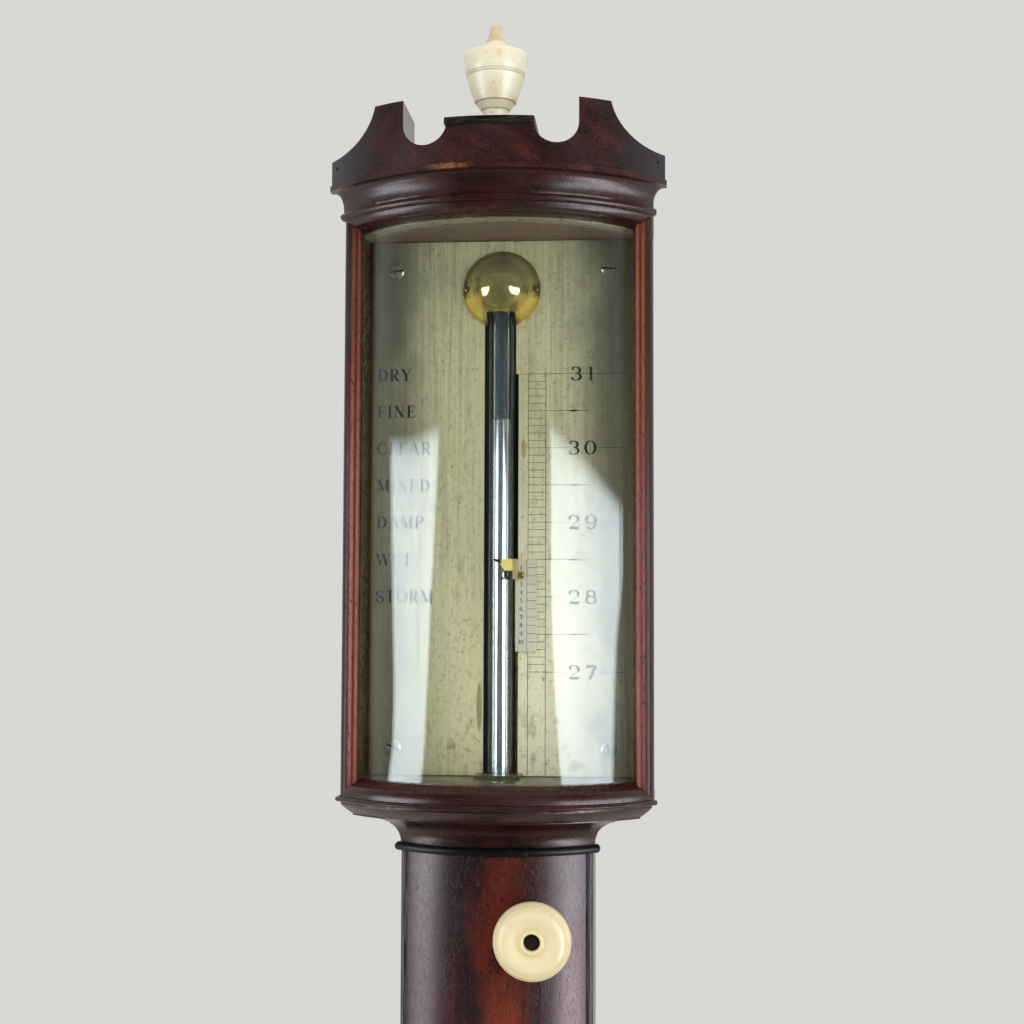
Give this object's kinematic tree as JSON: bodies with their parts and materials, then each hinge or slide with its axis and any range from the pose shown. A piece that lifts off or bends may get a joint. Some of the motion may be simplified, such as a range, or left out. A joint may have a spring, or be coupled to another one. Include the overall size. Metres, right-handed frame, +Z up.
{
  "type": "stick barometer",
  "caption": "Bow-front mahogany stick barometer: glazed hood, silvered register with mercury tube and geared vernier, bone knob and urn finial, cistern with portable screw.",
  "frame": {"origin": "centre of the hanging hole on the case's back plane", "axes": "+X to the right as seen from the front, +Y into the wall, +Z up along the tube"},
  "size_m": [0.113, 0.0638, 0.9744],
  "materials": {
    "mahogany": "polished, worn",
    "carcase_wood": "plain",
    "ebonised_wood": "satin black",
    "boxwood": "plain",
    "bone": "polished bone",
    "silvered_brass": "tarnished silvering",
    "brass": "polished",
    "mercury": "liquid metal",
    "clear_glass": "clear",
    "leather": "plain",
    "steel": "dark"
  },
  "bodies": {
    "case": {"backboard": "carcase_wood", "hanging_plate": "brass", "hanging_plate_screws": "brass", "trunk_front": "mahogany", "trunk_edge_beads": "ebonised_wood", "neck_bead": "ebonised_wood", "trunk_base_bead": "ebonised_wood", "hood_base": "mahogany", "bottom_rail": "mahogany", "top_rail": "mahogany", "left_stile": "mahogany", "right_stile": "mahogany", "hood_soffit": "carcase_wood", "left_cheek": "mahogany", "right_cheek": "mahogany", "cornice": "mahogany", "pediment": "mahogany", "pediment_cap": "ebonised_wood", "finial": "bone", "bow_glass": "clear_glass", "left_register_plate": "silvered_brass", "right_register_plate": "silvered_brass", "plate_screws": "silvered_brass", "bulb_cover": "brass", "bulb_cover_screws": "brass", "tube": "clear_glass", "mercury_column": "mercury", "tube_clip": "brass", "tube_clip_screws": "brass", "floor_plug": "ebonised_wood", "rack_guides": "brass", "spindle_bush": "brass", "cistern_lid": "boxwood", "cistern_cup": "boxwood", "mercury_pool": "mercury", "cistern_leather": "leather", "bag_mercury": "mercury", "cistern_base": "boxwood", "screw_bush": "brass", "cistern_strap": "brass", "cistern_strap_screws": "brass", "cistern_cover": "ebonised_wood", "cistern_cover_screws": "brass"},
    "vernier": {"vernier_plate": "silvered_brass", "vernier_pointer": "brass", "vernier_screw": "brass", "rack_bar": "brass"},
    "knob": {"setting_knob": "bone", "knob_spindle": "steel", "pinion": "brass"},
    "pad": {"push_pad": "boxwood"},
    "screw": {"portable_screw": "brass"}
  },
  "joints": [
    {"name": "knob_turn", "type": "hinge", "parent": "case", "child": "knob", "pos_m": [0.0129, -0.0385, -0.2534], "axis": [0, 1, 0], "range_deg": [-682, 1136]},
    {"name": "vernier_slide", "type": "slide", "parent": "case", "child": "vernier", "axis": [0, 0, 1], "range_m": [-0.0381, 0.0635]},
    {"name": "pad_lift", "type": "slide", "parent": "case", "child": "pad", "axis": [0, 0, 1], "range_m": [0, 0.009], "deforming": ["cistern_leather", "bag_mercury"]},
    {"name": "screw_turn", "type": "hinge", "parent": "pad", "child": "screw", "pos_m": [0, -0.017, -0.911], "axis": [0, 0, 1], "range_deg": [0, 2159]}
  ],
  "couplings": [
    {"joint": "vernier_slide", "follows": "knob_turn", "m_per_rad": 0.0032},
    {"joint": "pad_lift", "follows": "screw_turn", "m_per_rad": 0.00023873}
  ]
}
